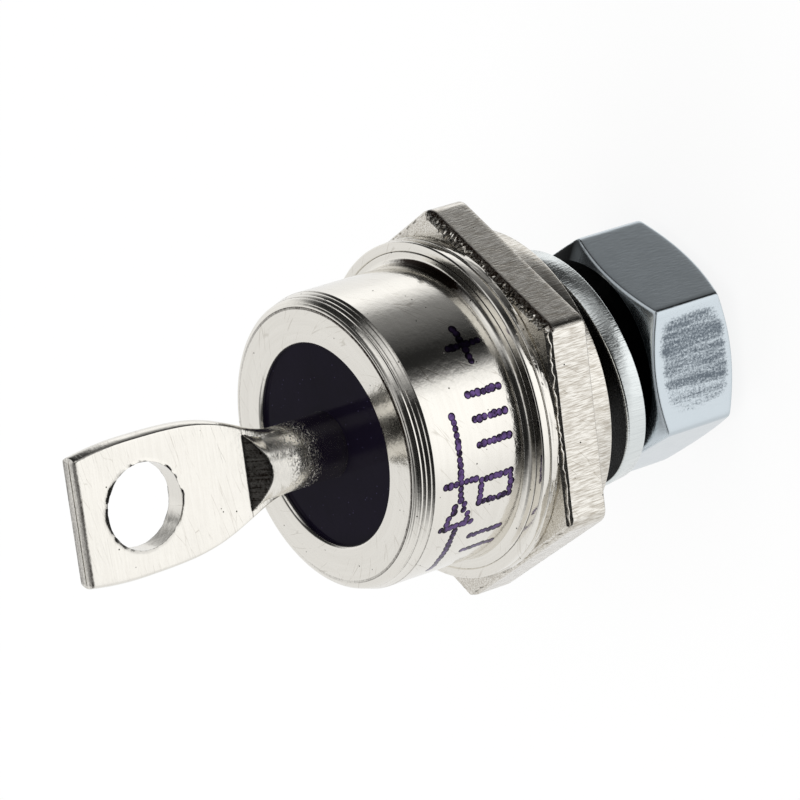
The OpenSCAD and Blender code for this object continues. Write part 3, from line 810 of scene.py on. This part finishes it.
def build_nut(colours):
    """Hexagon nut with both ends chamfered, its edges eased, and its flats rubbed by a spanner."""
    fine = np.radians([-0.9, -0.6, -0.3, 0.3, 0.6, 0.9])
    corners = [math.radians(60 * k) + fine for k in range(6)]
    a = np.sort(np.concatenate([np.radians(np.arange(360)), *corners]) % TURN)
    flats = hexagon_reach(a, NUT_APOTHEM, NUT_CORNER)
    down = np.concatenate([[0.0, 0.008, 0.02], np.arange(0.04, 0.8, 0.03)])
    levels = (*(NUT_TOP - down), *np.linspace(NUT_TOP - 0.9, NUT_LOW + 0.9, 14), *(NUT_LOW + down)[::-1])

    def chamfer(z):
        return NUT_FACE_R - 0.03 + np.minimum(NUT_TOP - z, z - NUT_LOW) / NUT_SLOPE

    def outer(z):
        return contour(soft_min(chamfer(z), flats, 0.12), a, z)

    def inner(r, z):
        return contour(np.full(a.shape, r), a, z)

    sink = NUT_BORE_R + NUT_SINK
    rings = [inner(NUT_BORE_R, z) for z in (NUT_LOW + NUT_SINK, NUT_TOP - NUT_SINK)]
    rings += [inner(sink, NUT_TOP), inner(NUT_LAND_R, NUT_TOP)] + [outer(z) for z in levels]
    rings += [inner(NUT_LAND_R, NUT_LOW), inner(sink, NUT_LOW)]
    steel = zinc_plate("zinc_on_formed_steel", colours.zinc, colours, (8.0, 8.0, 2.2), 0.004, True)
    obj = piece("hex_nut_worked", *skin(rings, loop=True), steel)
    middle = (NUT_TOP + NUT_LOW) / 2
    wear = np.array([0.5, 0.3, 0.6, 0.4, 1.0, 0.15])  # how far each flat is rubbed

    def rubbed(x, y, z):
        turn = np.degrees(np.arctan2(y, x)) % 360
        across = ((turn % 60 - 32) / 29) ** 4 + ((z - middle + 0.1) / 2.5) ** 4
        fading = 1.0 - 0.13 * np.clip((34 - turn % 60) / 25, 0, 1)
        return np.clip((1.0 - across) / 0.7, 0, 1) * fading * wear[(turn // 60).astype(int)]

    # painted shade on the face against the washer, and a painted dark reflection on the chamfer between -12 and
    # 62 degrees
    def grime_and_shade(x, y, z):
        turn, reach = np.degrees(np.arctan2(y, x)), np.hypot(x, y)
        face = (z > NUT_TOP - 0.004) * (reach < NUT_FACE_R - 0.01)
        inside = reach < hexagon_reach(np.radians(turn), NUT_APOTHEM, NUT_CORNER) - 0.06
        sloped = (z > NUT_TOP - 0.8) * inside
        return face + sloped * np.clip((turn + 12) / 14, 0, 1) * np.clip((62 - turn) / 14, 0, 1)

    def edge(x, y, z):
        return 1 - np.abs(chamfer(z) - hexagon_reach(np.arctan2(y, x), NUT_APOTHEM, NUT_CORNER)) / 0.1

    paint(obj, "rubbed", rubbed)
    paint(obj, "edge", edge)
    paint(obj, "grime_and_shade", grime_and_shade)
    fit(obj, "zinc", "hex_nut")


POLARITY_ROW = [
    "            #       #           ",
    "            ###     #           ",
    "            #  ##   #           ",
    "#############    ###############",
    "            #  ##   #           ",
    "            ###     #           ",
    "            #       #           ",
]
TICK_ROW = [
    " #   #      #####     #   #   #       #     ",
    " #   #      #   #     #   #   #       #     ",
    " #   #      #   #     #   #   #       #     ",
    " #   #      #   #     #   #   #    #######  ",
    " #   #      #   #     #   #   #       #     ",
    " #   #      #   #     #   #   #       #     ",
    " #   #      #####     #   #   #       #     ",
]
# Each row, the height of its middle in millimetres and the turn at which it starts in degrees
MARK_ROWS = ((POLARITY_ROW, 8.72, -148.0), (TICK_ROW, 6.6, -140.0))


def build_mark(sizes, colours):
    """Polarity sign and plain ticks, thrown on the wall as dots of ink."""
    rng = np.random.default_rng(12)
    pitch, radius = sizes.dot_pitch / MM, sizes.dot / MM / 2
    points, faces = [], []
    n = 12  # points round a dot
    sides = np.arange(n) * TURN / n
    for rows, middle_z, first in MARK_ROWS:
        for i, row in enumerate(rows):
            for j, mark in enumerate(row):
                if mark != "#":
                    continue
                z = middle_z + (3 - i) * pitch + rng.normal(0, 0.02)
                arc_mm = math.radians(first) * CAP_R + j * pitch + rng.normal(0, 0.02)
                size = radius * rng.uniform(0.85, 1.1)
                for lift, share in ((-0.01, 1.0), (0.004, 1.0), (0.008, 0.6)):
                    turn = (arc_mm + size * share * np.cos(sides)) / CAP_R
                    points.append(contour(CAP_R + lift, turn, z + size * share * np.sin(sides)))
                start = (len(points) - 3) * n
                for first_of in (start, start + n):
                    lower = first_of + np.arange(n)
                    after = np.roll(lower, -1)
                    faces += np.stack([lower, after, after + n, lower + n], 1).tolist()
                faces += [list(range(start + n - 1, start - 1, -1)), list(range(start + 2 * n, start + 3 * n))]
    obj = piece("polarity_mark", np.vstack(points), faces, jetted_ink(colours))
    paint(obj, "rim", lambda x, y, z: np.hypot(x, y) < CAP_R + 0.006)
    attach(obj, "root")


INSIDE = {
    "solder_reflowed": (("base_solder", "die_solder", "contact_solder"), ("#B4B6BA", "#9A9CA0", 1.0, 0.4, 6.0)),
    "molybdenum_ground": (("lower_plate",), ("#A2A4A8", "#8C8E93", 1.0, 0.35, 9.0)),
    "silicon_lapped": (("silicon_die",), ("#6A7080", "#565C6C", 0.6, 0.25, 4.0)),
    "copper_drawn": (("upper_contact", "inner_lead"), ("#D98F63", "#BC7650", 1.0, 0.3, 8.0)),
    "silicone_cured": (("junction_coating",), ("#E4E6E8", "#D3D6DA", 0.0, 0.5, 3.0)),
}


def finish_inside():
    """Materials of the stack inside the cap, on the frame's own solids."""
    for name, (nodes, look) in INSIDE.items():
        material = inside_material(name, *look)
        for node in nodes:
            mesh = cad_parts[node].data
            mesh.materials.clear()
            mesh.materials.append(material)


# What metal and glass see of the studio, from the lowest band up: the level at each turn in degrees
LOW_BAND = (
    (-180, 0.9), (-132, 0.9), (-84, 0.96), (-62, 1.16), (-40, 1.24), (-15, 1.24), (-6, 0.98), (0, 0.27),
    (5, 0.08), (12, 0.02), (22, 0.018), (36, 0.085), (50, 0.18), (61, 0.245), (66, 0.38), (74, 0.78),
    (86, 1.2), (98, 1.15), (108, 1.0), (132, 0.92), (180, 0.9),
)
MIDDLE_BAND = (
    (-180, 0.88), (-122, 0.9), (-92, 0.9), (-34, 0.9), (-22, 0.2), (-14, 0.05), (-4, 0.2), (6, 0.4), (26, 0.4),
    (40, 0.1), (50, 0.04), (90, 0.06), (100, 0.3), (110, 0.7), (122, 1.0), (136, 0.95), (150, 0.88),
    (180, 0.88),
)
HIGH_BAND = (
    (-180, 0.88), (-122, 0.9), (-104, 0.75), (-94, 0.42), (-84, 0.1), (-74, 0.03), (-58, 0.012), (-36, 0.014),
    (-14, 0.02), (-6, 0.2), (4, 0.45), (14, 0.85), (26, 0.85), (36, 0.55), (46, 0.3), (56, 0.03), (64, 0.015),
    (90, 0.02), (98, 0.12), (104, 0.45), (110, 0.8), (120, 1.0), (136, 0.95), (150, 0.88), (180, 0.88),
)
UPPER_BAND = (
    (-180, 0.88), (-122, 0.9), (-104, 0.75), (-94, 0.42), (-84, 0.1), (-74, 0.012), (-14, 0.012), (-6, 0.06),
    (2, 0.25), (8, 0.55), (16, 0.88), (28, 0.98), (40, 0.88), (48, 0.72), (54, 0.38), (59, 0.03), (102, 0.03),
    (110, 0.15), (116, 0.5), (123, 0.85), (136, 0.95), (150, 0.88), (180, 0.88),
)
TOP_BAND = (
    (-180, 0.3), (-110, 0.3), (-90, 0.1), (-78, 0.03), (-14, 0.03), (-4, 0.2), (10, 0.42), (30, 0.42),
    (44, 0.2), (56, 0.04), (100, 0.04), (116, 0.2), (130, 0.3), (180, 0.3),
)
ROOF_BAND = ((-180, 0.6875), (180, 0.6875))
# Each band and the heights, as sines, between which it takes over from the one below it
STACK = (
    (MIDDLE_BAND, -0.46, -0.38), (HIGH_BAND, -0.28, -0.18), (UPPER_BAND, 0.3, 0.45), (TOP_BAND, 0.68, 0.85),
    (ROOF_BAND, 0.955, 0.985),
)
BRIGHTEST = 1.25
STUDIO_TURN = math.radians(47.44)


def studio_light(stage):
    """White all round for the camera. Metal and glass see it as soft boxes with dark gaps between them."""
    world = bpy.data.worlds.new("studio")
    bpy.context.scene.world = world
    world.use_nodes = True
    world.node_tree.nodes.clear()
    put = partial(add_node, world.node_tree)
    # the studio is turned against the hexagon
    way = put("TexCoord", out="Generated")
    way = put("VectorRotate", {"Vector": way, "Angle": STUDIO_TURN}, rotation_type="Z_AXIS")
    x, y, z = put("SeparateXYZ", {0: way}).node.outputs
    azimuth = put("Math", {0: y, 1: x}, operation="ARCTAN2")
    along = put("MapRange", {"Value": azimuth, "From Min": -math.pi, "From Max": math.pi})

    def soft_boxes(band):
        ramp = [((turn + 180) / 360, level / BRIGHTEST) for turn, level in band]
        return put("ValToRGB", {0: along}, ramp=ramp)

    boxes = soft_boxes(LOW_BAND)
    for band, first, last in STACK:
        levels = {"Value": z, "From Min": first, "From Max": last}
        rise = put("MapRange", levels, interpolation_type="SMOOTHSTEP")
        boxes = put("Mix", {"Factor": rise, 6: boxes, 7: soft_boxes(band)}, data_type="RGBA")
    shine = put("Math", {0: boxes, 1: BRIGHTEST}, operation="MULTIPLY")
    path = put("LightPath").node.outputs
    level = put("Mix", {0: path["Is Glossy Ray"], 2: stage.fill, 3: shine})
    rays = {0: path["Is Camera Ray"], 1: path["Is Transmission Ray"]}
    seen = put("Math", rays, operation="ADD", use_clamp=True)
    level = put("Mix", {0: seen, 2: level, 3: 1.0})
    light = put("Background", {"Color": (1, 1, 1), "Strength": level})
    put("OutputWorld", {"Surface": light})


def pale_floor(stage):
    """Pale board under the stud: white to the camera, with the part's shadow on it."""
    material, put, shader = blank("board_painted")
    material.node_tree.nodes.remove(shader)
    grain = put("TexNoise", {"Vector": put("TexCoord", out="Object"), "Scale": 400.0})
    tone = put("Mix", {"Factor": grain, 6: stage.floor, 7: linear("#F2F2F2")}, data_type="RGBA")
    board = put("BsdfDiffuse", {"Color": tone})
    glow = put("Emission", {"Color": (1, 1, 1), "Strength": 1.0})
    seen = put("LightPath", out="Is Camera Ray")
    share = put("Math", {0: seen, 1: 0.85}, operation="MULTIPLY")
    mixed = put("MixShader", {0: share, 1: board, 2: glow})
    feed(material.node_tree.nodes["Material Output"], {"Surface": mixed})
    mesh = bpy.data.meshes.new("floor")
    bm = bmesh.new()
    bmesh.ops.create_grid(bm, x_segments=4, y_segments=4, size=3.0)
    bm.to_mesh(mesh)
    bm.free()
    mesh.materials.append(material)
    floor = add_object("floor", mesh)
    floor.location.z = STUD_TIP * MM
    floor.visible_glossy = False


def soft_lamp(name, place, size, power):
    """A square soft lamp, aimed at the part, that lights the board. The plating sees the studio instead."""
    data = bpy.data.lights.new(name, "AREA")
    data.size = size
    data.energy = power
    lamp = add_object(name, data)
    lamp.location = place
    lamp.rotation_euler = (-Vector(place)).to_track_quat("-Z", "Y").to_euler()
    lamp.visible_glossy = False


def photo_camera():
    """Long lens from above the terminal side, turned so that the part lies across the picture."""
    data = bpy.data.cameras.new("camera")
    data.sensor_width = 36
    data.lens = 215.2
    data.clip_start = 0.01
    data.clip_end = 20
    camera = add_object("camera", data)
    right = Vector((-0.11699, -0.60826, -0.78507))
    up = Vector((0.95921, 0.13564, -0.24804))
    forward = Vector((-0.25736, 0.78206, -0.56758))
    place = Matrix((right, up, -forward)).transposed().to_4x4()
    place.translation = Vector((60.456, -180.595, 137.488)) * MM
    camera.matrix_world = place
    bpy.context.scene.camera = camera


def set_stage(stage):
    """Floor, light and camera."""
    pale_floor(stage)
    studio_light(stage)
    soft_lamp("key_lamp", (0.12, -0.22, 0.34), 0.3, stage.lamp)
    soft_lamp("fill_lamp", (-0.3, 0.1, 0.28), 0.35, stage.lamp)
    photo_camera()
    bpy.context.scene.view_settings.view_transform = "Standard"


class DIODE_OT_base(bpy.types.Operator):
    """Build the base with its boss and threaded stud"""

    bl_idname = "diode.base"
    bl_label = "Base and Stud"

    def execute(self, context):
        build_base(context.scene.diode_sizes, context.scene.diode_colours)
        return {"FINISHED"}


class DIODE_OT_cap(bpy.types.Operator):
    """Build the weld ring and the cap"""

    bl_idname = "diode.cap"
    bl_label = "Weld Ring and Cap"

    def execute(self, context):
        build_cap(context.scene.diode_colours)
        return {"FINISHED"}


class DIODE_OT_seal(bpy.types.Operator):
    """Build the glass seal"""

    bl_idname = "diode.seal"
    bl_label = "Glass Seal"

    def execute(self, context):
        build_seal(context.scene.diode_colours)
        return {"FINISHED"}


class DIODE_OT_terminal(bpy.types.Operator):
    """Build the pressed flag terminal"""

    bl_idname = "diode.terminal"
    bl_label = "Flag Terminal"

    def execute(self, context):
        build_terminal(context.scene.diode_sizes, context.scene.diode_colours)
        return {"FINISHED"}


class DIODE_OT_fixings(bpy.types.Operator):
    """Build the lock washer and the nut"""

    bl_idname = "diode.fixings"
    bl_label = "Lock Washer and Nut"

    def execute(self, context):
        build_washer(context.scene.diode_colours)
        build_nut(context.scene.diode_colours)
        return {"FINISHED"}


class DIODE_OT_mark(bpy.types.Operator):
    """Print the polarity mark on the cap"""

    bl_idname = "diode.mark"
    bl_label = "Polarity Mark"

    def execute(self, context):
        build_mark(context.scene.diode_sizes, context.scene.diode_colours)
        return {"FINISHED"}


class DIODE_OT_inside(bpy.types.Operator):
    """Finish the stack inside the cap"""

    bl_idname = "diode.inside"
    bl_label = "Inner Stack"

    def execute(self, context):
        finish_inside()
        return {"FINISHED"}


class DIODE_OT_stage(bpy.types.Operator):
    """Set the floor, the light and the camera"""

    bl_idname = "diode.stage"
    bl_label = "Stage"

    def execute(self, context):
        set_stage(context.scene.diode_stage)
        return {"FINISHED"}


OPERATORS = (
    DIODE_OT_base, DIODE_OT_cap, DIODE_OT_seal, DIODE_OT_terminal,
    DIODE_OT_fixings, DIODE_OT_mark, DIODE_OT_inside, DIODE_OT_stage,
)
GROUPS = {"diode_sizes": DiodeSizes, "diode_colours": DiodeColours, "diode_stage": DiodeStage}


class DIODE_PT_panel(bpy.types.Panel):
    """Lists the pieces of the diode and their settings"""

    bl_idname = "DIODE_PT_panel"
    bl_label = "Stud Diode"
    bl_space_type = "VIEW_3D"
    bl_region_type = "UI"
    bl_category = "Stud Diode"

    def draw(self, context):
        layout = self.layout
        for name, group in GROUPS.items():
            box = layout.box()
            for key in group.__annotations__:
                box.prop(getattr(context.scene, name), key)
        for operator in OPERATORS:
            layout.operator(operator.bl_idname)


CLASSES = (*GROUPS.values(), *OPERATORS, DIODE_PT_panel)


def register():
    for cls in CLASSES:
        bpy.utils.register_class(cls)
    for name, group in GROUPS.items():
        setattr(bpy.types.Scene, name, bpy.props.PointerProperty(type=group))


def unregister():
    for name in GROUPS:
        delattr(bpy.types.Scene, name)
    for cls in reversed(CLASSES):
        bpy.utils.unregister_class(cls)


def main():
    register()
    for operator in OPERATORS:
        group, name = operator.bl_idname.split(".")
        getattr(getattr(bpy.ops, group), name)()


if __name__ == "__main__":
    main()
